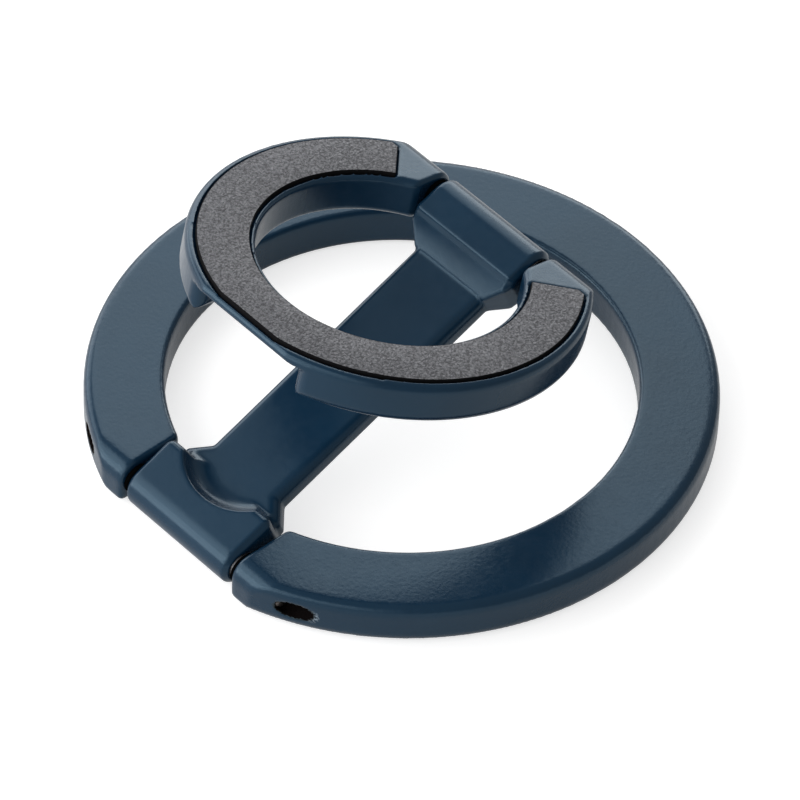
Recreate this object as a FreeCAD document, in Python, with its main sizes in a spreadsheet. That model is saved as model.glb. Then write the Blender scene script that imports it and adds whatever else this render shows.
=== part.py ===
"""Foldable magnetic phone ring holder, in millimetres, half open.

A C-shaped ring with magnets lies on the back of a phone. An arm is hinged in its gap, and a smaller
C-shaped ring, which is the finger loop and the stand's foot, is hinged at the arm's far end. Folded,
the arm and the small ring lie flat inside the large ring. +Z points away from the phone, the hinge
axes run along X, and the origin is on the phone's face, midway along the holder.
"""

import FreeCAD, Part
import math
import os
import Sketcher

# Driving sizes, in millimetres and degrees
SIZES = {
    # Thickness of both rings and the arm's blocks
    "metal_thickness": 4.1,
    "pad_proud": 0.2,
    # Large ring
    "ring_outer_radius": 29.0,
    "ring_width": 7.4,
    "ring_flat_margin": 1.9,
    "ring_outer_edge": 0.75,
    "ring_inner_edge": 0.3,
    "ring_flat_bottom_edge": 0.5,
    "ring_end_edge": 0.25,
    # Magnets, their channel and the soft pad that covers them
    "channel_wall": 1.6,
    "channel_span": 280.0,
    "magnet_count": 14,
    "magnet_thickness": 2.0,
    "magnet_gap_angle": 0.8,
    "backing_thickness": 0.4,
    "inlay_clearance": 0.1,
    "phone_pad_thickness": 0.5,
    "phone_pad_inner_margin": 0.7,
    "phone_pad_outer_margin": 1.1,
    "phone_pad_span": 310.0,
    # Arm
    "plate_width": 9.2,
    "plate_thickness": 2.1,
    "plate_top_edge": 1.0,
    "plate_bottom_edge": 0.3,
    "base_block_length": 13.9,
    "base_block_depth": 4.6,
    "base_block_inner_edge": 0.7,
    "base_block_root_blend": 0.6,
    "foot_block_length": 13.1,
    "foot_block_top_depth": 2.5,
    "foot_block_bevel": 0.4,
    "foot_block_end_depth": 3.15,
    "block_end_edge": 0.5,
    "flare_inset": 0.1,
    # Thumb scoop in the arm's base block
    "scoop_rim_radius": 6.9,
    "scoop_centre": 9.0,
    "scoop_wall_radius": 2.4,
    "scoop_rim_edge": 0.15,
    # Hinges
    "pin_diameter": 1.6,
    "pin_recess": 1.7,
    "pin_chamfer": 0.2,
    "pin_relief": 0.1,
    "running_clearance": 0.03,
    "sleeve_outer_diameter": 2.7,
    "sleeve_length": 4.5,
    "base_side_gap": 0.55,
    "foot_side_gap": 0.5,
    "washer_outer_diameter": 3.0,
    "washer_thickness": 0.4,
    # Small ring, which nests inside the large one, and its pad
    "nest_clearance": 3.0,
    "foot_ring_width": 6.4,
    "foot_axis_margin": 6.0,
    "foot_flat_margin": 1.9,
    "foot_top_edge": 0.6,
    "foot_bottom_edge": 0.8,
    "foot_inner_edge": 0.4,
    "foot_end_edge": 0.3,
    "free_end_cut": 0.85,
    "notch_side_clearance": 1.55,
    "flange_thickness": 1.1,
    "notch_edge": 1.2,
    "notch_mouth_radius": 1.2,
    "flange_lip_edge": 0.4,
    "foot_pad_thickness": 0.7,
    "foot_pad_proud": 0.3,
    "foot_pad_outer_margin": 0.85,
    "foot_pad_inner_margin": 0.5,
    "foot_pad_free_margin": 0.4,
    "foot_pad_end_angle": 45.0,
    "foot_pad_corner_angle": 43.0,
    # Pose of the photograph
    "arm_angle": 21.4,
    "foot_opening": 33.4,
}

Vector = FreeCAD.Vector
Rotation = FreeCAD.Rotation
TOLERANCE = 0.001
ORIGIN = -1
FULL_TURN = 360

# A cast rim is eased in two equal steps, whose middle point stands this share in from the corner
RIM_EASE = 1 - math.sqrt(0.5)

doc = FreeCAD.newDocument("phone_ring_holder")
sheet = doc.addObject("Spreadsheet::Sheet", "sizes")
for row, (alias, number) in enumerate(SIZES.items(), start=1):
    sheet.set(f"A{row}", alias)
    sheet.set(f"B{row}", str(number))
    sheet.setAlias(f"B{row}", alias)
doc.recompute()


# A size is a number together with the expression over the sheet's cells that gives it
class Size:
    def __init__(self, value, text):
        self.value = value
        self.text = text

    def __add__(self, other):
        return Size(self.value + value_of(other), f"({self.text} + {text_of(other)})")

    def __sub__(self, other):
        return Size(self.value - value_of(other), f"({self.text} - {text_of(other)})")

    def __mul__(self, other):
        return Size(self.value * value_of(other), f"({self.text} * {text_of(other)})")

    def __truediv__(self, other):
        return Size(self.value / value_of(other), f"({self.text} / {text_of(other)})")

    def __neg__(self):
        return Size(-self.value, f"(-1 * {self.text})")


def value_of(size):
    return size.value if isinstance(size, Size) else float(size)


def text_of(size):
    return size.text if isinstance(size, Size) else str(size)


def cell(alias):
    return Size(float(getattr(sheet, alias)), f"sizes.{alias}")


def root(size):
    return Size(math.sqrt(size.value), f"sqrt({size.text})")


def cosine(angle):
    return Size(math.cos(math.radians(angle.value)), f"cos({angle.text})")


def sine(angle):
    return Size(math.sin(math.radians(angle.value)), f"sin({angle.text})")


def other_leg(hypotenuse, leg):
    """Length of a right triangle's second leg, such as half a chord of a circle."""
    return root(hypotenuse * hypotenuse - leg * leg)


# Sizes that follow from the driving ones
barrel_radius = cell("metal_thickness") / 2
axis_height = cell("pad_proud") + barrel_radius
ring_top = cell("pad_proud") + cell("metal_thickness")
pin_radius = cell("pin_diameter") / 2
base_gap_half = cell("base_block_length") / 2 + cell("base_side_gap")
foot_gap_half = cell("foot_block_length") / 2 + cell("foot_side_gap")
foot_angle = cell("arm_angle") - cell("foot_opening")

# The base hinge crosses the middle of the large ring's width
ring_outer = cell("ring_outer_radius")
ring_inner = ring_outer - cell("ring_width")
base_axis_inset = ring_outer - cell("ring_width") / 2
channel_inner = ring_inner + cell("channel_wall")
channel_outer = ring_outer - cell("channel_wall")

# Folded flat, both rings have one centre, so the arm is as long as both hinge insets together
foot_outer = ring_inner - cell("nest_clearance")
foot_inner = foot_outer - cell("foot_ring_width")
foot_axis_inset = foot_outer - cell("foot_axis_margin")
arm_length = base_axis_inset + foot_axis_inset

# The origin lies midway between the ring's far edge and the outer side of the arm's base block
ring_centre_y = -((ring_outer - base_axis_inset - barrel_radius) / 2)
base_axis_y = ring_centre_y - base_axis_inset
foot_axis_y = base_axis_y + arm_length * cosine(cell("arm_angle"))
foot_axis_z = axis_height + arm_length * sine(cell("arm_angle"))
foot_centre_y = foot_axis_y - foot_axis_inset * cosine(foot_angle)
foot_centre_z = foot_axis_z - foot_axis_inset * sine(foot_angle)


# Sketches
def hold_point(sketch, edge, end, x, y):
    """Ties one end of an edge to its place from the sketch's origin."""
    for kind, size, axis in (("DistanceX", x, -2), ("DistanceY", y, -1)):
        if value_of(size) == 0:
            sketch.addConstraint(Sketcher.Constraint("PointOnObject", edge, end, axis))
        else:
            datum = Sketcher.Constraint(kind, ORIGIN, 1, edge, end, value_of(size))
            bind_constraint(sketch, sketch.addConstraint(datum), size)


def bind_constraint(sketch, index, size):
    sketch.setExpression(f"Constraints[{index}]", text_of(size))


def sketch_on(body, role, name):
    """Empty sketch on one of the body's own origin planes."""
    plane = [item for item in body.Origin.OriginFeatures if item.Role == role][0]
    sketch = body.newObject("Sketcher::SketchObject", name)
    sketch.AttachmentSupport = [(plane, "")]
    sketch.MapMode = "FlatFace"
    return sketch


def draw_outline(sketch, corners):
    """Closed outline through corners (x, y) or (x, y, radius).

    With a radius, the side that starts at that corner is an arc of at most half a turn: a positive
    radius turns left along the outline, and a negative one turns right.
    """
    ends = []
    for corner, following in zip(corners, corners[1:] + corners[:1]):
        start = Vector(value_of(corner[0]), value_of(corner[1]), 0)
        finish = Vector(value_of(following[0]), value_of(following[1]), 0)
        if len(corner) == 2:
            edge = sketch.addGeometry(Part.LineSegment(start, finish), False)
            ends.append((edge, 1, 2))
            continue
        radius = corner[2]
        left = value_of(radius) > 0
        first, last = (start, finish) if left else (finish, start)
        span = last - first
        rise = math.sqrt(max(value_of(radius) ** 2 - span.Length ** 2 / 4, 0))
        side = Vector(-span.y, span.x, 0).normalize()
        centre = (first + last) / 2 + side * rise
        circle = Part.Circle(centre, Vector(0, 0, 1), abs(value_of(radius)))
        arc = Part.ArcOfCircle(circle, circle.parameter(first), circle.parameter(last))
        edge = sketch.addGeometry(arc, False)
        ends.append((edge, 1, 2) if left else (edge, 2, 1))
        reach = radius if left else -radius
        index = sketch.addConstraint(Sketcher.Constraint("Radius", edge, value_of(reach)))
        bind_constraint(sketch, index, reach)
    for corner, here, before in zip(corners, ends, ends[-1:] + ends[:-1]):
        hold_point(sketch, here[0], here[1], corner[0], corner[1])
        sketch.addConstraint(Sketcher.Constraint("Coincident", before[0], before[2], here[0], here[1]))


def draw_circle(sketch, x, y, radius):
    circle = Part.Circle(Vector(value_of(x), value_of(y), 0), Vector(0, 0, 1), value_of(radius))
    edge = sketch.addGeometry(circle, False)
    hold_point(sketch, edge, 3, x, y)
    index = sketch.addConstraint(Sketcher.Constraint("Radius", edge, value_of(radius)))
    bind_constraint(sketch, index, radius)


def rectangle(left, right, bottom, top):
    return [(left, bottom), (right, bottom), (right, top), (left, top)]


# Features of a body
def new_body(name):
    body = doc.addObject("PartDesign::Body", name)
    body.Label = name
    return body


def pad_sketch(body, sketch, length, both_sides=True):
    pad = body.newObject("PartDesign::Pad", sketch.Name + "_pad")
    pad.Profile = sketch
    pad.SideType = "Symmetric" if both_sides else "One side"
    pad.setExpression("Length", text_of(length))
    doc.recompute()
    return pad


def pocket_through(body, sketch):
    """Pocket through everything, to both sides of its sketch."""
    before = body.Shape.Volume
    pocket = body.newObject("PartDesign::Pocket", sketch.Name + "_pocket")
    pocket.Profile = sketch
    pocket.SideType = "Symmetric"
    pocket.Type = "ThroughAll"
    doc.recompute()
    check_cut(body, before, pocket)
    return pocket


def pocket_depth(body, sketch, depth, reverse):
    """Pocket to one side of its sketch, to a given depth."""
    before = body.Shape.Volume
    pocket = body.newObject("PartDesign::Pocket", sketch.Name + "_pocket")
    pocket.Profile = sketch
    pocket.Reversed = reverse
    pocket.setExpression("Length", text_of(depth))
    doc.recompute()
    check_cut(body, before, pocket)
    return pocket


def check_cut(body, before, feature):
    if body.Shape.Volume >= before - TOLERANCE:
        raise RuntimeError(f"{feature.Name} cuts nothing")


def revolve_sketch(body, sketch, axis):
    revolution = body.newObject("PartDesign::Revolution", sketch.Name + "_revolution")
    revolution.Profile = sketch
    revolution.ReferenceAxis = (sketch, [axis])
    revolution.Angle = FULL_TURN
    doc.recompute()
    return revolution


def groove_sketch(body, sketch, axis, span):
    """Groove that turns by the given angle, half to each side of its sketch."""
    before = body.Shape.Volume
    groove = body.newObject("PartDesign::Groove", sketch.Name + "_groove")
    groove.Profile = sketch
    groove.ReferenceAxis = (sketch, [axis])
    groove.Midplane = True
    if isinstance(span, Size):
        groove.setExpression("Angle", span.text)
    else:
        groove.Angle = span
    doc.recompute()
    check_cut(body, before, groove)
    return groove


def round_edges(body, name, radius, chosen):
    """Fillet on the edges of the body's tip that the test chooses."""
    tip = body.Tip
    names = [f"Edge{number}" for number, edge in enumerate(tip.Shape.Edges, start=1) if chosen(edge)]
    if not names:
        raise RuntimeError(f"{name} finds no edge")
    fillet = body.newObject("PartDesign::Fillet", name)
    fillet.Base = (tip, names)
    fillet.setExpression("Radius", text_of(radius))
    doc.recompute()
    return fillet


def bevel_edges(body, name, size, chosen):
    """Chamfer on the edges of the body's tip that the test chooses."""
    tip = body.Tip
    names = [f"Edge{number}" for number, edge in enumerate(tip.Shape.Edges, start=1) if chosen(edge)]
    if not names:
        raise RuntimeError(f"{name} finds no edge")
    chamfer = body.newObject("PartDesign::Chamfer", name)
    chamfer.Base = (tip, names)
    chamfer.setExpression("Size", text_of(size))
    doc.recompute()
    return chamfer


def near(number, size):
    return abs(number - value_of(size)) < TOLERANCE


def lies_on(edge, axis, size):
    """True where the whole edge lies in the plane at that place along x, y or z."""
    box = edge.BoundBox
    low = getattr(box, axis.upper() + "Min")
    high = getattr(box, axis.upper() + "Max")
    return near(low, size) and near(high, size)


# Where the sub-parts of each moving body go
def place(item, y, z, angle=None):
    item.setExpression("Placement.Base.y", text_of(y))
    item.setExpression("Placement.Base.z", text_of(z))
    if angle is not None:
        item.Placement.Rotation = Rotation(Vector(1, 0, 0), value_of(angle))
        item.setExpression("Placement.Rotation.Angle", text_of(angle))


# Large ring
def make_phone_ring():
    body = new_body("phone_ring")
    outer = ring_outer
    inner = ring_inner
    bottom = cell("pad_proud")
    big = cell("ring_outer_edge")
    ease = big * RIM_EASE
    small = cell("ring_inner_edge")
    beyond = outer + barrel_radius

    # Cross-section with its eased rims, turned about the ring's axis
    section = sketch_on(body, "XZ_Plane", "ring_section")
    draw_outline(section, [
        (inner + small, bottom),
        (outer - big, bottom),
        (outer - ease, bottom + ease),
        (outer, bottom + big),
        (outer, ring_top - big),
        (outer - ease, ring_top - ease),
        (outer - big, ring_top),
        (inner + small, ring_top),
        (inner, ring_top - small),
        (inner, bottom + small),
    ])
    revolve_sketch(body, section, "V_Axis")

    # The outer side at the hinge is flat and rounded like the arm's block
    flat = base_axis_inset + cell("ring_flat_margin")
    round_top = cell("ring_flat_margin")
    round_bottom = cell("ring_flat_bottom_edge")
    outside = sketch_on(body, "YZ_Plane", "ring_hinge_side")
    draw_outline(outside, [
        (-beyond, bottom - barrel_radius),
        (round_bottom - flat, bottom - barrel_radius),
        (round_bottom - flat, bottom, -round_bottom),
        (-flat, bottom + round_bottom),
        (-flat, ring_top - round_top, -round_top),
        (round_top - flat, ring_top),
        (round_top - flat, ring_top + barrel_radius),
        (-beyond, ring_top + barrel_radius),
    ])
    pocket_through(body, outside)

    # Gap for the arm's block
    gap = sketch_on(body, "XY_Plane", "ring_gap")
    draw_outline(gap, rectangle(-base_gap_half, base_gap_half, -beyond, 0))
    pocket_through(body, gap)
    bevel_edges(body, "ring_gap_edges", cell("ring_end_edge"),
                lambda edge: lies_on(edge, "x", base_gap_half) or lies_on(edge, "x", -base_gap_half))

    # Bores for the hinge pin, out through the round wall
    bore = sketch_on(body, "YZ_Plane", "ring_pin_bore")
    draw_circle(bore, -base_axis_inset, axis_height, pin_radius)
    pocket_through(body, bore)

    # Channel for the magnets and their backing plate, and the shallow recess for the pad
    channel_top = cell("phone_pad_thickness") + cell("magnet_thickness") + cell("backing_thickness")
    channel = sketch_on(body, "YZ_Plane", "magnet_channel")
    draw_outline(channel, rectangle(channel_inner, channel_outer, bottom - barrel_radius, channel_top))
    groove_sketch(body, channel, "V_Axis", cell("channel_span"))
    recess = sketch_on(body, "YZ_Plane", "phone_pad_recess")
    recess_inner = inner + cell("phone_pad_inner_margin") - cell("inlay_clearance")
    recess_outer = outer - cell("phone_pad_outer_margin") + cell("inlay_clearance")
    draw_outline(recess, rectangle(recess_inner, recess_outer,
                                   bottom - barrel_radius, cell("phone_pad_thickness")))
    groove_sketch(body, recess, "V_Axis", cell("phone_pad_span"))
    place(body, ring_centre_y, 0)
    return body


def make_ring_segment(name, inner, outer, height, bottom, span, turn):
    """Part of a flat ring, spanning an angle, its middle turned from +Y."""
    whole = doc.addObject("Part::Cylinder", name + "_outer")
    whole.setExpression("Radius", text_of(outer))
    whole.setExpression("Height", text_of(height))
    whole.setExpression("Angle", text_of(span))
    hole = doc.addObject("Part::Cylinder", name + "_inner")
    hole.setExpression("Radius", text_of(inner))
    hole.setExpression("Height", text_of(height))
    segment = doc.addObject("Part::Cut", name)
    segment.Base = whole
    segment.Tool = hole
    segment.Label = name
    place(segment, ring_centre_y, bottom)
    turn = turn - span / 2 + 90
    segment.Placement.Rotation = Rotation(Vector(0, 0, 1), turn.value)
    segment.setExpression("Placement.Rotation.Angle", turn.text)
    return segment


def make_magnets():
    """Arc magnets side by side in the channel, with a small angle between neighbours."""
    clearance = cell("inlay_clearance")
    span = cell("channel_span")
    pitch = span / cell("magnet_count")
    magnets = []
    for number in range(int(SIZES["magnet_count"])):
        magnets.append(make_ring_segment(
            f"magnet_{number + 1:02d}",
            channel_inner + clearance,
            channel_outer - clearance,
            cell("magnet_thickness"),
            cell("phone_pad_thickness"),
            pitch - cell("magnet_gap_angle"),
            pitch * (number + 0.5) - span / 2,
        ))
    return magnets


def make_backing_plate():
    clearance = cell("inlay_clearance")
    return make_ring_segment(
        "backing_plate",
        channel_inner + clearance,
        channel_outer - clearance,
        cell("backing_thickness"),
        cell("phone_pad_thickness") + cell("magnet_thickness"),
        cell("channel_span") - cell("magnet_gap_angle"),
        cell("channel_span") * 0,
    )


def make_phone_pad():
    return make_ring_segment(
        "phone_pad",
        ring_inner + cell("phone_pad_inner_margin"),
        ring_outer - cell("phone_pad_outer_margin"),
        cell("phone_pad_thickness"),
        cell("phone_pad_thickness") * 0,
        cell("phone_pad_span") - cell("magnet_gap_angle"),
        cell("phone_pad_span") * 0,
    )


# Arm, drawn in its own frame: the base hinge axis is its X axis, and the plate runs along +Y
def make_arm():
    body = new_body("arm")
    length = arm_length
    plate_half = cell("plate_width") / 2
    plate_top = cell("plate_thickness") - barrel_radius
    base_half = cell("base_block_length") / 2
    foot_half = cell("foot_block_length") / 2
    base_flare_end = cell("base_block_depth") + base_half - plate_half
    foot_flare_end = length - cell("foot_block_end_depth")
    foot_flare_start = foot_flare_end - (foot_half - plate_half)

    # Plate with 45 degree flares that end just inside both blocks' bevelled ends
    outline = sketch_on(body, "XY_Plane", "plate_outline")
    outline.AttachmentOffset.Base.z = -barrel_radius.value
    outline.setExpression("AttachmentOffset.Base.z", text_of(-barrel_radius))
    base_reach = base_half - cell("block_end_edge") - cell("flare_inset")
    foot_reach = foot_half - cell("block_end_edge") - cell("flare_inset")
    side = [
        (base_reach, 0),
        (base_reach, base_flare_end + plate_half - base_reach),
        (plate_half, base_flare_end),
        (plate_half, foot_flare_start),
        (foot_reach, foot_flare_start + foot_reach - plate_half),
        (foot_reach, length),
    ]
    draw_outline(outline, side + [(-x, y) for x, y in reversed(side)])
    pad_sketch(body, outline, cell("plate_thickness"), both_sides=False)

    def runs_along_side(edge):
        return abs(edge.Vertexes[0].Y - edge.Vertexes[1].Y) > TOLERANCE

    round_edges(body, "plate_top_edges", cell("plate_top_edge"),
                lambda edge: lies_on(edge, "z", plate_top) and runs_along_side(edge))
    round_edges(body, "plate_bottom_edges", cell("plate_bottom_edge"),
                lambda edge: lies_on(edge, "z", -barrel_radius) and runs_along_side(edge))

    # Base block: round outside, flat on top, with a rounded inner edge
    inner_edge = cell("base_block_inner_edge")
    depth = cell("base_block_depth")
    base_block = sketch_on(body, "YZ_Plane", "base_block")
    draw_outline(base_block, [
        (-barrel_radius, 0, barrel_radius),
        (0, -barrel_radius),
        (depth, -barrel_radius),
        (depth, barrel_radius - inner_edge, inner_edge),
        (depth - inner_edge, barrel_radius),
        (0, barrel_radius, barrel_radius),
    ])
    pad_sketch(body, base_block, cell("base_block_length"))

    # Foot block: round back, flat on top, with a bevel and a slope down to the plate
    bevel = cell("foot_block_bevel")
    top_start = length - cell("foot_block_top_depth")
    foot_block = sketch_on(body, "YZ_Plane", "foot_block")
    draw_outline(foot_block, [
        (foot_flare_start, -barrel_radius),
        (length, -barrel_radius, barrel_radius),
        (length + barrel_radius, 0, barrel_radius),
        (length, barrel_radius),
        (top_start, barrel_radius),
        (top_start - bevel, barrel_radius - bevel),
        (foot_flare_start, plate_top),
    ])
    pad_sketch(body, foot_block, cell("foot_block_length"))

    # The foot block's front corners follow the plate's flares
    for name, sign in (("foot_flare_right", 1), ("foot_flare_left", -1)):
        corner = sketch_on(body, "XY_Plane", name)
        triangle = [
            (plate_half * sign, foot_flare_start - barrel_radius),
            (foot_half * sign, foot_flare_start - barrel_radius),
            (foot_half * sign, foot_flare_end),
            (plate_half * sign, foot_flare_start),
        ]
        draw_outline(corner, triangle)
        pocket_through(body, corner)

    # The base block's inner face runs down into the plate, as far as the plate's top is flat
    blend = cell("base_block_root_blend")
    root_width = (base_reach - cell("plate_top_edge")) * 2
    root_blend = sketch_on(body, "YZ_Plane", "base_block_root")
    draw_outline(root_blend, [
        (depth - blend, plate_top - blend),
        (depth, plate_top - blend),
        (depth + blend, plate_top),
        (depth, plate_top + blend),
        (depth - blend, plate_top + blend),
    ])
    pad_sketch(body, root_blend, root_width)

    # Thumb scoop: a dished cut whose hollow wall runs down into the plate
    scoop = sketch_on(body, "YZ_Plane", "thumb_scoop")
    centre = cell("scoop_centre")
    rim = cell("scoop_rim_radius")
    hollow = cell("scoop_wall_radius")
    edge_size = cell("scoop_rim_edge")
    wall_height = barrel_radius - plate_top - edge_size
    wall_top = centre - rim + edge_size
    draw_outline(scoop, [
        (wall_top, barrel_radius - edge_size, hollow),
        (wall_top + other_leg(hollow, hollow - wall_height), plate_top),
        (centre, plate_top),
        (centre, barrel_radius),
        (centre - rim, barrel_radius),
    ])
    axis = Part.LineSegment(Vector(centre.value, 0, 0), Vector(centre.value, barrel_radius.value, 0))
    line = scoop.addGeometry(axis, True)
    hold_point(scoop, line, 1, centre, 0)
    hold_point(scoop, line, 2, centre, barrel_radius)
    groove_sketch(body, scoop, "Axis0", FULL_TURN)

    # Bevelled ends of both blocks
    bevel_edges(body, "base_block_ends", cell("block_end_edge"),
                lambda edge: lies_on(edge, "x", base_half) or lies_on(edge, "x", -base_half))
    bevel_edges(body, "foot_block_ends", cell("block_end_edge"),
                lambda edge: lies_on(edge, "x", foot_half) or lies_on(edge, "x", -foot_half))

    # Stepped bores for the sleeves and the pins
    for name, half, place_y in (("base_bore", base_half, None), ("foot_bore", foot_half, length)):
        bore = sketch_on(body, "XY_Plane", name)
        middle = half - cell("sleeve_length")
        relief = pin_radius + cell("pin_relief")
        sleeve = cell("sleeve_outer_diameter") / 2
        beyond = half + cell("sleeve_length")
        across = [(-beyond, 0), (beyond, 0), (beyond, sleeve), (middle, sleeve), (middle, relief),
                  (-middle, relief), (-middle, sleeve), (-beyond, sleeve)]
        if place_y is None:
            draw_outline(bore, across)
            groove_sketch(body, bore, "H_Axis", FULL_TURN)
        else:
            draw_outline(bore, [(x, place_y + y) for x, y in across])
            left_end = Vector(-half.value, place_y.value, 0)
            right_end = Vector(half.value, place_y.value, 0)
            line = bore.addGeometry(Part.LineSegment(left_end, right_end), True)
            hold_point(bore, line, 1, -half, place_y)
            hold_point(bore, line, 2, half, place_y)
            groove_sketch(body, bore, "Axis0", FULL_TURN)
    place(body, base_axis_y, axis_height, cell("arm_angle"))
    return body


# Small ring, drawn in its own frame: the origin is its centre, at half its thickness
def make_foot_ring():
    body = new_body("foot_ring")
    outer = foot_outer
    inner = foot_inner
    small = cell("foot_inner_edge")
    upper = cell("foot_top_edge")
    lower = cell("foot_bottom_edge")
    beyond = outer + barrel_radius

    # Cross-section with its eased rims, turned about the ring's axis
    section = sketch_on(body, "XZ_Plane", "foot_section")
    draw_outline(section, [
        (inner + small, -barrel_radius),
        (outer - lower, -barrel_radius),
        (outer - lower * RIM_EASE, lower * RIM_EASE - barrel_radius),
        (outer, lower - barrel_radius),
        (outer, barrel_radius - upper),
        (outer - upper * RIM_EASE, barrel_radius - upper * RIM_EASE),
        (outer - upper, barrel_radius),
        (inner + small, barrel_radius),
        (inner, barrel_radius - small),
        (inner, small - barrel_radius),
    ])
    revolve_sketch(body, section, "V_Axis")

    # Flat at the free end, with the same eased rims
    free_y = cell("free_end_cut") - outer
    flat = sketch_on(body, "YZ_Plane", "free_end")
    draw_outline(flat, [
        (-beyond, -barrel_radius * 2),
        (free_y + lower, -barrel_radius * 2),
        (free_y + lower, -barrel_radius),
        (free_y + lower * RIM_EASE, lower * RIM_EASE - barrel_radius),
        (free_y, lower - barrel_radius),
        (free_y, barrel_radius - upper),
        (free_y + upper * RIM_EASE, barrel_radius - upper * RIM_EASE),
        (free_y + upper, barrel_radius),
        (free_y + upper, barrel_radius * 2),
        (-beyond, barrel_radius * 2),
    ])
    pocket_through(body, flat)

    # Notch under the free end that clears the arm's plate when folded
    notch_half = cell("plate_width") / 2 + cell("notch_side_clearance")
    notch_top = barrel_radius - cell("flange_thickness")
    corner = cell("notch_edge")
    below = -barrel_radius * 2
    notch = sketch_on(body, "XZ_Plane", "free_end_notch")
    draw_outline(notch, [
        (-(notch_half + corner), below),
        (notch_half + corner, below),
        (notch_half + corner, -barrel_radius, -corner),
        (notch_half, corner - barrel_radius),
        (notch_half, notch_top),
        (-notch_half, notch_top),
        (-notch_half, corner - barrel_radius, -corner),
        (-(notch_half + corner), -barrel_radius),
    ])
    pocket_depth(body, notch, beyond, True)
    round_edges(body, "flange_lip", cell("flange_lip_edge"),
                lambda edge: lies_on(edge, "z", notch_top) and lies_on(edge, "y", free_y))

    # The notch's mouth is rounded where its sides meet the outer wall
    mouth = cell("notch_mouth_radius")
    mouth_x = notch_half + mouth
    mouth_y = -other_leg(outer - mouth, mouth_x)
    reach = outer / (outer - mouth)
    for name, sign, turn in (("notch_mouth_right", 1, mouth), ("notch_mouth_left", -1, -mouth)):
        tip = sketch_on(body, "XY_Plane", name)
        tip.AttachmentOffset.Base.z = notch_top.value
        tip.setExpression("AttachmentOffset.Base.z", text_of(notch_top))
        draw_outline(tip, [
            (notch_half * sign, mouth_y, turn),
            (mouth_x * reach * sign, mouth_y * reach),
            (mouth_x * reach * sign, -beyond),
            (notch_half * sign, -beyond),
        ])
        pocket_depth(body, tip, barrel_radius * 2, False)

    # The outer side at the hinge is flat and rounded like the arm's block
    margin = cell("foot_flat_margin")
    outside = sketch_on(body, "YZ_Plane", "foot_hinge_side")
    draw_outline(outside, [
        (foot_axis_inset, -barrel_radius * 2),
        (beyond, -barrel_radius * 2),
        (beyond, barrel_radius * 2),
        (foot_axis_inset, barrel_radius * 2),
        (foot_axis_inset, barrel_radius, -margin),
        (foot_axis_inset + margin, barrel_radius - margin),
        (foot_axis_inset + margin, margin - barrel_radius, -margin),
        (foot_axis_inset, -barrel_radius),
    ])
    pocket_through(body, outside)

    # Gap for the arm's block
    gap = sketch_on(body, "XY_Plane", "foot_gap")
    draw_outline(gap, rectangle(-foot_gap_half, foot_gap_half, 0, beyond))
    pocket_through(body, gap)
    bevel_edges(body, "foot_gap_edges", cell("foot_end_edge"), lambda edge: edge.BoundBox.YMin > 0 and
                (lies_on(edge, "x", foot_gap_half) or lies_on(edge, "x", -foot_gap_half)))

    # Bores for the hinge pin
    bore = sketch_on(body, "YZ_Plane", "foot_pin_bore")
    draw_circle(bore, foot_axis_inset, 0, pin_radius)
    pocket_through(body, bore)

    # Shallow recess for the grained pad
    recess = sketch_on(body, "XY_Plane", "foot_pad_recess")
    recess.AttachmentOffset.Base.z = barrel_radius.value
    recess.setExpression("AttachmentOffset.Base.z", text_of(barrel_radius))
    draw_outline(recess, foot_pad_outline(cell("inlay_clearance")))
    pocket_depth(body, recess, cell("foot_pad_thickness") - cell("foot_pad_proud"), False)
    place(body, foot_centre_y, foot_centre_z, foot_angle)
    return body


def foot_pad_outline(growth):
    """Outline of the small ring's pad, grown by a clearance for its recess."""
    outer = foot_outer - cell("foot_pad_outer_margin") + growth
    inner = foot_inner + cell("foot_pad_inner_margin") - growth
    free_y = foot_outer - cell("free_end_cut") - cell("foot_pad_free_margin") + growth
    hinge_y = (outer - growth) * sine(cell("foot_pad_corner_angle")) + growth
    along = cosine(cell("foot_pad_end_angle"))
    rise = sine(cell("foot_pad_end_angle"))
    right = [
        (inner * along, inner * rise),
        (hinge_y * along / rise, hinge_y),
        (other_leg(outer, hinge_y), hinge_y, -outer),
        (other_leg(outer, free_y), -free_y),
    ]
    left = [
        (-other_leg(outer, free_y), -free_y, -outer),
        (-other_leg(outer, hinge_y), hinge_y),
        (-(hinge_y * along / rise), hinge_y),
        (-(inner * along), inner * rise, inner),
        (0, -inner, inner),
    ]
    return right + left


def make_foot_pad():
    body = new_body("foot_pad")
    outline = sketch_on(body, "XY_Plane", "foot_pad_outline")
    seat = barrel_radius - cell("foot_pad_thickness") + cell("foot_pad_proud")
    outline.AttachmentOffset.Base.z = seat.value
    outline.setExpression("AttachmentOffset.Base.z", seat.text)
    draw_outline(outline, foot_pad_outline(cell("inlay_clearance") * 0))
    pad_sketch(body, outline, cell("foot_pad_thickness"), both_sides=False)
    place(body, foot_centre_y, foot_centre_z, foot_angle)
    return body


# Pins, sleeves and washers on the hinge axes
def make_pin(name, ring_radius, axis_inset, y, z):
    """Chamfered pin through both ring ends, its ends sunk below the round wall."""
    body = new_body(name)
    half = other_leg(ring_radius, axis_inset) - cell("pin_recess")
    chamfer = cell("pin_chamfer")
    section = sketch_on(body, "XY_Plane", name + "_section")
    draw_outline(section, [
        (-half, 0),
        (half, 0),
        (half, pin_radius - chamfer),
        (half - chamfer, pin_radius),
        (chamfer - half, pin_radius),
        (-half, pin_radius - chamfer),
    ])
    revolve_sketch(body, section, "H_Axis")
    place(body, y, z)
    return body


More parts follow.
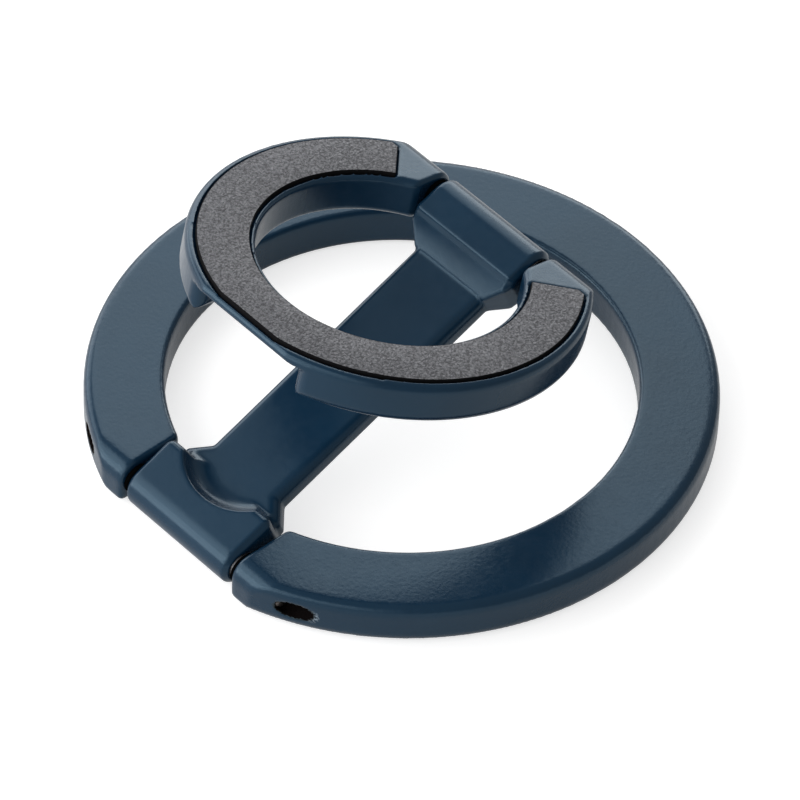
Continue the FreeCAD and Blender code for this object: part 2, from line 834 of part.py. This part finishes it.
def make_tube(name, inner_radius, outer_radius, length, start, y, z):
    """Plain tube along X, from start towards +X."""
    solid = doc.addObject("Part::Cylinder", name + "_outer")
    solid.setExpression("Radius", text_of(outer_radius))
    solid.setExpression("Height", text_of(length))
    hole = doc.addObject("Part::Cylinder", name + "_inner")
    hole.setExpression("Radius", text_of(inner_radius))
    hole.setExpression("Height", text_of(length))
    tube = doc.addObject("Part::Cut", name)
    tube.Base = solid
    tube.Tool = hole
    tube.Label = name
    tube.Placement.Rotation = Rotation(Vector(0, 1, 0), 90)
    tube.setExpression("Placement.Base.x", text_of(start))
    place(tube, y, z)
    return tube


def make_sleeves(hinge, half, y, z):
    """Friction sleeves in the two ends of one of the arm's blocks."""
    bore = pin_radius + cell("running_clearance")
    outer = cell("sleeve_outer_diameter") / 2
    length = cell("sleeve_length")
    return [
        make_tube(f"{hinge}_sleeve_left", bore, outer, length, -half, y, z),
        make_tube(f"{hinge}_sleeve_right", bore, outer, length, half - length, y, z),
    ]


def make_washers(hinge, gap_half, y, z):
    """Thin washers on the pin, against the two ring ends."""
    bore = pin_radius + cell("running_clearance")
    outer = cell("washer_outer_diameter") / 2
    thickness = cell("washer_thickness")
    return [
        make_tube(f"{hinge}_washer_left", bore, outer, thickness, -gap_half, y, z),
        make_tube(f"{hinge}_washer_right", bore, outer, thickness, gap_half - thickness, y, z),
    ]


subparts = [
    make_phone_ring(),
    make_backing_plate(),
    *make_magnets(),
    make_phone_pad(),
    make_arm(),
    make_foot_ring(),
    make_foot_pad(),
    make_pin("base_pin", ring_outer, base_axis_inset, base_axis_y, axis_height),
    make_pin("foot_pin", foot_outer, foot_axis_inset, foot_axis_y, foot_axis_z),
    *make_sleeves("base", cell("base_block_length") / 2, base_axis_y, axis_height),
    *make_sleeves("foot", cell("foot_block_length") / 2, foot_axis_y, foot_axis_z),
    *make_washers("base", base_gap_half, base_axis_y, axis_height),
    *make_washers("foot", foot_gap_half, foot_axis_y, foot_axis_z),
]
doc.recompute()

# Every feature has to be sound before anything is written
for item in doc.Objects:
    if "Invalid" in item.State or "Error" in item.State:
        raise RuntimeError(f"{item.Name} failed: {item.State}")
for part in subparts:
    if part.Shape.isNull() or not part.Shape.isValid() or not part.Shape.Solids:
        raise RuntimeError(f"{part.Label} has no valid solid")

os.makedirs("parts", exist_ok=True)
for part in subparts:
    part.Shape.exportStep(f"parts/{part.Label}.step")
    print(f"{part.Label}: {len(part.Shape.Solids)} solid, {part.Shape.Volume:.2f} mm3")
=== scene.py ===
"""Looks for the folding phone ring holder: satin paint, pads, hinge steel and a plain studio."""

import math
import bpy
import bmesh
from mathutils import Matrix, Vector


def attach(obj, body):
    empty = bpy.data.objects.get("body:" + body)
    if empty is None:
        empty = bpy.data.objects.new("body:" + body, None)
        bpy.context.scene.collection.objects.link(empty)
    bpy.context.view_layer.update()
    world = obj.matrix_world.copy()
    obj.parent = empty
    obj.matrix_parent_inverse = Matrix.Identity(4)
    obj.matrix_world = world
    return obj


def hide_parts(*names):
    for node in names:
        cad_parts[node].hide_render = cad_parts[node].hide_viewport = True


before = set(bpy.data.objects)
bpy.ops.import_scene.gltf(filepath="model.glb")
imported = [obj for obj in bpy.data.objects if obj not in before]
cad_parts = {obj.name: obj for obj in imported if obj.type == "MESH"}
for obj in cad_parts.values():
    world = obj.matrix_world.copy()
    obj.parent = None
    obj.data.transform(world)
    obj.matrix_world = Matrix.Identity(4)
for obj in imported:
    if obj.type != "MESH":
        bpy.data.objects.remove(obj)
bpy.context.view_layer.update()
MM = 0.001
WELD = 0.002 * MM

# Linear colours, and the range of the paint's roughness
PAINT_DARK = (0.0029, 0.0175, 0.0400)
PAINT_LIGHT = (0.0037, 0.0212, 0.0470)
PAINT_GLOSS = (0.575, 0.83, 1.0)
CHIP_GREY = (0.30, 0.37, 0.44)
NEAR_BLACK = (0.001, 0.001, 0.001)
PAINT_ROUGHNESS = (0.21, 0.27)
# Where most of a noise's values lie, and the whole range of a factor
NOISE_RANGE = (0.3, 0.7)
FULL_RANGE = (0, 1)

# The large ring's pin hole, which runs along X: places and sizes in millimetres, at rest
PIN_AXIS = (0, -26.125, 2.25)
BORE_RADIUS = 0.85
BORE_EDGE = 0.05
BORE_RIM = 0.6
BORE_LEAST_SOFTNESS = 0.15
# Between these distances from the pin axis the paint fades to black: painted shade around the hole's
# mouth
BORE_SHADE = (0.92, 1.04)
CHIPPED = (15.45, -25.36, 2.15)
CHIP_REACH = (0.45, 0.85)


# Node helpers
def empty_material(name):
    material = bpy.data.materials.new(name)
    material.use_nodes = True
    tree = material.node_tree
    tree.nodes.clear()
    return material, tree, tree.nodes.new("ShaderNodeOutputMaterial")


def new_material(name):
    material, tree, output = empty_material(name)
    shader = tree.nodes.new("ShaderNodeBsdfPrincipled")
    tree.links.new(shader.outputs["BSDF"], output.inputs["Surface"])
    return material, tree, shader


def feed(tree, socket, value):
    """Gives a socket a plain number, colour or vector, or links another node's output to it."""
    if isinstance(value, bpy.types.NodeSocket):
        tree.links.new(value, socket)
    else:
        socket.default_value = value


def calculate(tree, operation, *values, kind="ShaderNodeMath"):
    node = tree.nodes.new(kind)
    node.operation = operation
    for socket, value in zip(node.inputs, values):
        feed(tree, socket, value)
    return node


def calculate_vector(tree, operation, *values):
    return calculate(tree, operation, *values, kind="ShaderNodeVectorMath")


def millimetres(tree, stretch=(1, 1, 1)):
    """Object coordinates in millimetres, so that every texture has a real scale."""
    coordinates = tree.nodes.new("ShaderNodeTexCoord")
    mapping = tree.nodes.new("ShaderNodeMapping")
    mapping.inputs["Scale"].default_value = [s / MM for s in stretch]
    tree.links.new(coordinates.outputs["Object"], mapping.inputs["Vector"])
    return mapping.outputs["Vector"]


def noise(tree, vector, per_mm, detail=2.0, roughness=0.5, output="Fac"):
    node = tree.nodes.new("ShaderNodeTexNoise")
    node.inputs["Scale"].default_value = per_mm
    node.inputs["Detail"].default_value = detail
    node.inputs["Roughness"].default_value = roughness
    tree.links.new(vector, node.inputs["Vector"])
    return node.outputs[output]


def spread(tree, value, source, target):
    """Maps a value from one range to another, and holds it at the ends."""
    node = tree.nodes.new("ShaderNodeMapRange")
    node.inputs["From Min"].default_value, node.inputs["From Max"].default_value = source
    node.inputs["To Min"].default_value, node.inputs["To Max"].default_value = target
    tree.links.new(value, node.inputs["Value"])
    return node.outputs["Result"]


def blend_colours(tree, value, first, second):
    node = tree.nodes.new("ShaderNodeMix")
    node.data_type = "RGBA"
    tree.links.new(value, node.inputs["Factor"])
    for socket, colour in ((node.inputs["A"], first), (node.inputs["B"], second)):
        feed(tree, socket, (*colour, 1) if isinstance(colour, tuple) else colour)
    return node.outputs["Result"]


def add_bump(tree, height, distance_mm, strength, normal=None):
    node = tree.nodes.new("ShaderNodeBump")
    node.inputs["Strength"].default_value = strength
    node.inputs["Distance"].default_value = distance_mm * MM
    tree.links.new(height, node.inputs["Height"])
    if normal is not None:
        tree.links.new(normal, node.inputs["Normal"])
    return node.outputs["Normal"]


def near(tree, place, centre, across, reach):
    """1 close to a point, fading to 0, its distance measured along the directions that count."""
    offset = calculate_vector(tree, "SUBTRACT", place, centre).outputs["Vector"]
    counted = calculate_vector(tree, "MULTIPLY", offset, across).outputs["Vector"]
    distance = calculate_vector(tree, "LENGTH", counted).outputs["Value"]
    return spread(tree, distance, reach, (1, 0))


# Materials
def paint(name, peel_strength, pin_hole=False):
    """Satin paint with faint clouds and orange peel; where it has a pin hole it is chipped, and black
    around the hole's mouth as painted shade.
    """
    material, tree, shader = new_material(name)
    place = millimetres(tree)
    clouds = spread(tree, noise(tree, place, per_mm=0.12), (0.35, 0.65), FULL_RANGE)
    mottle = noise(tree, place, per_mm=1.3, detail=3)
    waves = noise(tree, place, per_mm=0.35, detail=1, roughness=0.4)
    peel = noise(tree, place, per_mm=2.6)
    colour = blend_colours(tree, clouds, PAINT_DARK, PAINT_LIGHT)
    rough = spread(tree, mottle, NOISE_RANGE, PAINT_ROUGHNESS)
    normal = add_bump(tree, waves, distance_mm=0.05, strength=0.20)
    normal = add_bump(tree, peel, distance_mm=0.05, strength=peel_strength, normal=normal)
    if pin_hole:
        flakes = noise(tree, place, per_mm=3.6, detail=3, roughness=0.6)
        flakes = spread(tree, flakes, (0.47, 0.53), FULL_RANGE)
        beside_hole = near(tree, place, CHIPPED, across=(1, 1, 1), reach=CHIP_REACH)
        chips = calculate(tree, "MULTIPLY", flakes, beside_hole).outputs["Value"]
        colour = blend_colours(tree, chips, colour, CHIP_GREY)
        normal = add_bump(tree, chips, distance_mm=0.08, strength=1.0, normal=normal)
        # Painted shade: the paint turns near black around the pin hole's mouth
        hole = near(tree, place, PIN_AXIS, across=(0, 1, 1), reach=BORE_SHADE)
        colour = blend_colours(tree, hole, colour, NEAR_BLACK)
    tree.links.new(colour, shader.inputs["Base Color"])
    tree.links.new(rough, shader.inputs["Roughness"])
    tree.links.new(normal, shader.inputs["Normal"])
    shader.inputs["IOR"].default_value = 1.5
    shader.inputs["Specular Tint"].default_value = (*PAINT_GLOSS, 1)
    return material


def grained_pad():
    """Grained rubber: wandering cells mixed with soft noise, smoother where it stands up; paler on the
    ridges and darker in the valleys as painted highlight and shade.
    """
    material, tree, shader = new_material("grained_pad")
    place = millimetres(tree)
    drift = noise(tree, place, per_mm=3.0, detail=1, output="Color")
    cells = tree.nodes.new("ShaderNodeTexVoronoi")
    cells.feature = "DISTANCE_TO_EDGE"
    cells.inputs["Scale"].default_value = 3.0
    wandering = calculate_vector(tree, "MULTIPLY_ADD", drift, (0.35, 0.35, 0.35), place)
    tree.links.new(wandering.outputs["Vector"], cells.inputs["Vector"])
    cushions = spread(tree, cells.outputs["Distance"], (0.02, 0.20), FULL_RANGE)
    bumps = spread(tree, noise(tree, place, per_mm=3.4, detail=1), (0.42, 0.58), FULL_RANGE)
    half_each = tree.nodes.new("ShaderNodeMix")
    half_each.inputs["Factor"].default_value = 0.5
    tree.links.new(cushions, half_each.inputs["A"])
    tree.links.new(bumps, half_each.inputs["B"])
    height = half_each.outputs["Result"]
    # Painted shade and highlight: the colour darkens down into the grain's valleys and pales on its
    # ridges
    colour = blend_colours(tree, height, (0.038, 0.039, 0.045), (0.150, 0.154, 0.170))
    tree.links.new(colour, shader.inputs["Base Color"])
    tree.links.new(spread(tree, height, FULL_RANGE, (0.66, 0.46)), shader.inputs["Roughness"])
    normal = add_bump(tree, height, distance_mm=0.07, strength=0.9)
    tree.links.new(normal, shader.inputs["Normal"])
    return material


def matt_dark(name, dark, light, specular, depth_mm):
    """Dark matt surface that reflects little: a moulded washer, a pad's cut edge with painted shade of
    the gap on its rounded edge, or painted shade inside a bore.
    """
    material, tree, shader = new_material(name)
    grain = noise(tree, millimetres(tree, (1, 1, 3)), per_mm=4.0, detail=4, roughness=0.7)
    normal = add_bump(tree, grain, distance_mm=depth_mm, strength=0.8)
    tree.links.new(blend_colours(tree, grain, dark, light), shader.inputs["Base Color"])
    tree.links.new(spread(tree, grain, NOISE_RANGE, (0.76, 0.92)), shader.inputs["Roughness"])
    tree.links.new(normal, shader.inputs["Normal"])
    shader.inputs["Specular IOR Level"].default_value = specular
    return material


def soft_pad():
    """Soft dark rubber with a fine matt nap, which lies on the phone."""
    material, tree, shader = new_material("soft_pad")
    nap = noise(tree, millimetres(tree), per_mm=9.0, detail=4, roughness=0.7)
    colour = blend_colours(tree, nap, (0.030, 0.031, 0.034), (0.062, 0.063, 0.067))
    normal = add_bump(tree, nap, distance_mm=0.05, strength=0.6)
    tree.links.new(colour, shader.inputs["Base Color"])
    tree.links.new(normal, shader.inputs["Normal"])
    shader.inputs["Roughness"].default_value = 0.85
    shader.inputs["Sheen Weight"].default_value = 0.25
    return material


def metal(name, dark, light, roughness, finer):
    """Turned, rolled or plated metal, its marks so many times finer along each direction."""
    material, tree, shader = new_material(name)
    marks = noise(tree, millimetres(tree, finer), per_mm=3.0, detail=4, roughness=0.6)
    rough = spread(tree, marks, NOISE_RANGE, (roughness - 0.06, roughness + 0.08))
    normal = add_bump(tree, marks, distance_mm=0.01, strength=0.5)
    tree.links.new(blend_colours(tree, marks, dark, light), shader.inputs["Base Color"])
    tree.links.new(rough, shader.inputs["Roughness"])
    tree.links.new(normal, shader.inputs["Normal"])
    shader.inputs["Metallic"].default_value = 1.0
    return material


RING_PAINT = paint("ring_paint", peel_strength=0.30, pin_hole=True)
ARM_PAINT = paint("arm_paint", peel_strength=0.10)
FOOT_PAINT = paint("foot_paint", peel_strength=0.14)
# Near black and without gloss inside the pin hole: painted shade
PAINTED_BORE_SHADE = matt_dark("bore_painted_shade", NEAR_BLACK, (0.008, 0.006, 0.006), specular=0.0, depth_mm=0.06)
GRAIN = grained_pad()
# Black of the pads' cut sides, and painted shade of the gap around each pad on their rounded edges
PAD_EDGE_AND_GAP_SHADE = matt_dark("pad_edge_and_gap_shade", (0.0015, 0.0015, 0.002), (0.006, 0.006, 0.007), specular=0.1,
                 depth_mm=0.08)
SOFT = soft_pad()
PIN = metal("pin_steel", (0.10, 0.09, 0.085), (0.19, 0.17, 0.16), roughness=0.42, finer=(6, 1, 1))
SLEEVE = metal("sleeve_steel", (0.20, 0.20, 0.21), (0.32, 0.32, 0.33), roughness=0.40,
               finer=(6, 1, 1))
SHEET = metal("bare_steel", (0.42, 0.42, 0.44), (0.55, 0.55, 0.57), roughness=0.32,
              finer=(1, 5, 1))
PLATING = metal("magnet_plating", (0.52, 0.51, 0.49), (0.66, 0.65, 0.62), roughness=0.20,
                finer=(1, 1, 1))
WASHER = matt_dark("washer_plastic", NEAR_BLACK, (0.003, 0.003, 0.003), specular=0.0,
                   depth_mm=0.01)

# The first of these words in a node's name gives its material
MATERIAL_BY_WORD = (
    ("phone_ring", RING_PAINT), ("arm", ARM_PAINT), ("foot_ring", FOOT_PAINT), ("magnet", PLATING),
    ("washer", WASHER), ("sleeve", SLEEVE), ("pin", PIN), ("plate", SHEET), ("phone_pad", SOFT),
    ("foot_pad", GRAIN),
)


def dress(node, item):
    """Procedural material and smooth shading on a CAD node as it stands."""
    item.data.materials.clear()
    item.data.materials.append(next(material for word, material in MATERIAL_BY_WORD if word in node))
    for polygon in item.data.polygons:
        polygon.use_smooth = True
    weld = item.modifiers.new("weld", "WELD")
    weld.merge_threshold = WELD
    weighted = item.modifiers.new("weighted", "WEIGHTED_NORMAL")
    weighted.mode = "FACE_AREA_WITH_ANGLE"
    weighted.weight = 60


for node_name, node_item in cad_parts.items():
    dress(node_name, node_item)


# Mesh helpers
def add_object(name, data):
    item = bpy.data.objects.new(name, data)
    bpy.context.scene.collection.objects.link(item)
    return item


def welded_copy(node, merge_flat=False):
    """Mesh of a CAD node as one closed body, with few faces where its flat sides are merged."""
    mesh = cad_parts[node].data.copy()
    shape = bmesh.new()
    shape.from_mesh(mesh)
    bmesh.ops.remove_doubles(shape, verts=shape.verts, dist=WELD)
    if merge_flat:
        bmesh.ops.dissolve_limit(shape, angle_limit=math.radians(1), verts=shape.verts,
                                 edges=shape.edges, delimit={"NORMAL"})
    shape.to_mesh(mesh)
    shape.free()
    return mesh


def settle(item):
    """Applies an object's modifiers to its mesh."""
    graph = bpy.context.evaluated_depsgraph_get()
    mesh = bpy.data.meshes.new_from_object(item.evaluated_get(graph))
    item.modifiers.clear()
    item.data = mesh
    mesh.name = item.name


# Castings: each one's own solid with the soft edges and corners of a painted die casting
def flat_side(mesh):
    """Normal of the solid's widest flat side."""
    areas = {}
    for polygon in mesh.polygons:
        key = tuple(round(number, 2) for number in polygon.normal)
        areas[key] = areas.get(key, 0) + polygon.area
    return Vector(max(areas, key=areas.get)).normalized()


def even_mesh(node, voxel_mm):
    """Solid of a CAD node in even, fine faces, made level first so that its flat sides stay flat."""
    mesh = welded_copy(node)
    side = flat_side(mesh)
    nearest_z = Vector((0, 0, 1 if side.z > 0 else -1))
    level = side.rotation_difference(nearest_z).to_matrix().to_4x4()
    mesh.transform(level)
    item = add_object(node + "_cast", mesh)
    remesh = item.modifiers.new("even", "REMESH")
    remesh.mode = "VOXEL"
    remesh.voxel_size = voxel_mm * MM
    settle(item)
    item.data.transform(level.inverted())
    return item


def off_pin_axis(y_mm, z_mm):
    return math.hypot(y_mm - PIN_AXIS[1], z_mm - PIN_AXIS[2])


def make_casting(node, body, material, voxel_mm, passes, pin_hole=False):
    """Painted casting with soft edges, whose pin hole stays crisp if it has one, the hole's faces near
    black as painted shade.
    """
    item = even_mesh(node, voxel_mm)
    soften = item.modifiers.new("soften", "SMOOTH")
    soften.factor = 0.5
    soften.iterations = passes
    if pin_hole:
        group = item.vertex_groups.new(name="soft")
        for vertex in item.data.vertices:
            away = off_pin_axis(vertex.co.y / MM, vertex.co.z / MM) - BORE_RADIUS
            softness = min(1, max(BORE_LEAST_SOFTNESS, away / BORE_RIM))
            group.add([vertex.index], softness, "REPLACE")
        soften.vertex_group = "soft"
    settle(item)
    item.vertex_groups.clear()
    item.data.materials.clear()
    item.data.materials.append(material)
    # Second slot: painted shade, near black, for the faces inside the pin hole
    item.data.materials.append(PAINTED_BORE_SHADE)
    for polygon in item.data.polygons:
        polygon.use_smooth = True
        if pin_hole:
            middle = polygon.center / MM
            in_hole = off_pin_axis(middle.y, middle.z) < BORE_RADIUS + BORE_EDGE
            polygon.material_index = int(in_hole)
    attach(item, body)
    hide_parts(node)


make_casting("phone_ring", "base", RING_PAINT, voxel_mm=0.225, passes=4, pin_hole=True)
make_casting("arm", "arm", ARM_PAINT, voxel_mm=0.14, passes=5)
make_casting("foot_ring", "foot", FOOT_PAINT, voxel_mm=0.15, passes=5)


# Pads: each node's own outline, a little smaller, with a rounded edge and black sides. The sides'
# black is the cut edge's own; on the rounded edge it is painted shade of the thin gap around the pad.
# Cosines with the way up tell their sides from the face that shows, and limit the mitre of a corner.
SIDE_BELOW = 0.3
SHOWN_ABOVE = 0.7
LEAST_MITRE = 0.4


def pull_in(mesh, up, margin_mm, drop_mm):
    """Moves a pad's sides inward, and the face that shows down towards what it is glued to."""
    shape = bmesh.new()
    shape.from_mesh(mesh)
    shape.normal_update()
    heights = [vertex.co.dot(up) for vertex in shape.verts]
    middle = (min(heights) + max(heights)) / 2
    moves = []
    for vertex in shape.verts:
        normals = [face.normal for face in vertex.link_faces]
        sides = [normal for normal in normals if abs(normal.dot(up)) < SIDE_BELOW]
        outward = sum(sides, Vector()).normalized()
        mitre = max(LEAST_MITRE, outward.dot(sides[0]))
        move = outward * (-margin_mm * MM / mitre)
        if vertex.co.dot(up) > middle:
            move -= up * (drop_mm * MM)
        moves.append(move)
    for vertex, move in zip(shape.verts, moves):
        vertex.co += move
    shape.to_mesh(mesh)
    shape.free()


def make_pad(node, body, face, faces_up, margin_mm, drop_mm, edge_mm):
    mesh = welded_copy(node, merge_flat=True)
    mesh.name = node + "_detailed"
    normal = max(mesh.polygons, key=lambda polygon: polygon.area).normal.copy()
    up = normal if (normal.z > 0) == faces_up else -normal
    pull_in(mesh, up, margin_mm, drop_mm)
    pad = add_object(node + "_detailed", mesh)
    mesh.materials.clear()
    mesh.materials.append(face)
    mesh.materials.append(PAD_EDGE_AND_GAP_SHADE)
    for polygon in mesh.polygons:
        polygon.use_smooth = True
        polygon.material_index = 0 if polygon.normal.dot(up) > SHOWN_ABOVE else 1
    edge = pad.modifiers.new("soft_edge", "BEVEL")
    edge.width = edge_mm * MM
    edge.segments = 3
    edge.limit_method = "ANGLE"
    edge.angle_limit = math.radians(40)
    edge.harden_normals = True
    # The rounded edge takes the black as well: painted shade of the gap around the pad
    edge.material = 1
    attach(pad, body)
    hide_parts(node)


make_pad("foot_pad", "foot", GRAIN, faces_up=True, margin_mm=0.10, drop_mm=0.12,
         edge_mm=0.08)
make_pad("phone_pad", "base", SOFT, faces_up=False, margin_mm=0.02, drop_mm=0.0,
         edge_mm=0.12)


# Studio: pale floor, a tent of soft square panels and a quiet world
FLOOR_HALF = 6.0
FLOOR_DROP = 0.02 * MM
FLOOR_GREY = 0.60
FLOOR_LIFT_SEEN = 0.66
FLOOR_LIFT_REFLECTED = 0.30
WORLD_STRENGTH = 0.36
PANEL_SIDE = 0.24
PANEL_DISTANCE = 0.5
# Each panel's elevation, azimuth and brightness. The brightest stand low, at the camera's left
# and behind the object.
LIGHT_TENT = (
    (42, 144, 1.88), (42, 216, 2.12), (42, 252, 2.12), (42, 288, 1.14),
    (20, 120, 3.09), (20, 150, 2.25), (20, 180, 1.97), (20, 210, 1.60), (20, 240, 3.00),
    (20, 270, 1.75), (20, 300, 0.84), (4, 180, 0.70), (4, 225, 1.89), (4, 270, 1.04),
)


def make_floor():
    """Pale floor that keeps the object's shadow, and looks lighter to the camera and in gloss."""
    material, tree, output = empty_material("pale_floor")
    matt = tree.nodes.new("ShaderNodeBsdfDiffuse")
    matt.inputs["Color"].default_value = (FLOOR_GREY, FLOOR_GREY, FLOOR_GREY, 1)
    glow = tree.nodes.new("ShaderNodeEmission")
    glow.inputs["Color"].default_value = (1, 1, 1, 1)
    seen = tree.nodes.new("ShaderNodeLightPath")
    reflected = calculate(tree, "MULTIPLY", seen.outputs["Is Glossy Ray"], FLOOR_LIFT_REFLECTED)
    lift = calculate(tree, "MULTIPLY_ADD", seen.outputs["Is Camera Ray"], FLOOR_LIFT_SEEN,
                     reflected.outputs["Value"])
    tree.links.new(lift.outputs["Value"], glow.inputs["Strength"])
    both = tree.nodes.new("ShaderNodeAddShader")
    tree.links.new(matt.outputs[0], both.inputs[0])
    tree.links.new(glow.outputs[0], both.inputs[1])
    tree.links.new(both.outputs[0], output.inputs["Surface"])

    mesh = bpy.data.meshes.new("floor")
    corners = [(FLOOR_HALF * x, FLOOR_HALF * y, 0) for x, y in ((-1, -1), (1, -1), (1, 1), (-1, 1))]
    mesh.from_pydata(corners, [], [(0, 1, 2, 3)])
    mesh.materials.append(material)
    floor = add_object("floor", mesh)
    floor.location.z = -FLOOR_DROP


def make_world():
    """Quiet even light, and white behind the floor for the camera."""
    world = bpy.data.worlds.new("studio")
    world.use_nodes = True
    tree = world.node_tree
    background = tree.nodes["Background"]
    background.inputs["Color"].default_value = (1, 1, 1, 1)
    seen = tree.nodes.new("ShaderNodeLightPath")
    strength = calculate(tree, "MULTIPLY_ADD", seen.outputs["Is Camera Ray"], 1 - WORLD_STRENGTH,
                         WORLD_STRENGTH)
    tree.links.new(strength.outputs["Value"], background.inputs["Strength"])
    bpy.context.scene.world = world


def make_panel(elevation, azimuth, radiance):
    """Square area lamp that faces the object, with a given brightness of its surface."""
    lamp = bpy.data.lights.new(f"panel_{elevation:02d}_{azimuth:03d}", "AREA")
    lamp.shape = "SQUARE"
    lamp.size = PANEL_SIDE
    lamp.energy = radiance * math.pi * PANEL_SIDE ** 2
    item = add_object(lamp.name, lamp)
    up, around = math.radians(elevation), math.radians(azimuth)
    toward = Vector((math.cos(up) * math.cos(around), math.cos(up) * math.sin(around), math.sin(up)))
    item.location = toward * PANEL_DISTANCE
    item.rotation_euler = toward.to_track_quat("Z", "Y").to_euler()


def make_camera():
    """Camera of the photograph, fitted to the large ring at 58 mm across."""
    elevation, azimuth, roll = math.radians(45.67), math.radians(46.87), math.radians(1.98)
    distance = 700 * MM
    aim = Vector((0, -0.825 * MM, 0.645 * MM))
    # In pixels: the photograph's side, the focal length, and where the photograph shows the aim
    photo_side = 800
    focal = 7665.0
    aim_pixel = (401.29, 404.93)

    forward = Vector((-math.sin(azimuth) * math.cos(elevation),
                      math.cos(azimuth) * math.cos(elevation), -math.sin(elevation)))
    level = Vector((math.cos(azimuth), math.sin(azimuth), 0))
    above = level.cross(forward)
    right = level * math.cos(roll) + above * math.sin(roll)
    up = above * math.cos(roll) - level * math.sin(roll)
    across, down = ((pixel - photo_side / 2) / focal * distance for pixel in aim_pixel)
    spot = aim - forward * distance - right * across + up * down

    camera = bpy.data.cameras.new("camera")
    camera.sensor_width = 36
    camera.lens = focal * camera.sensor_width / photo_side
    camera.clip_start = 0.05
    camera.clip_end = 50
    item = add_object("camera", camera)
    item.matrix_world = Matrix((
        (right.x, up.x, -forward.x, spot.x),
        (right.y, up.y, -forward.y, spot.y),
        (right.z, up.z, -forward.z, spot.z),
        (0, 0, 0, 1)))
    bpy.context.scene.camera = item


make_floor()
make_world()
for panel in LIGHT_TENT:
    make_panel(*panel)
make_camera()
bpy.context.scene.view_settings.view_transform = "Standard"
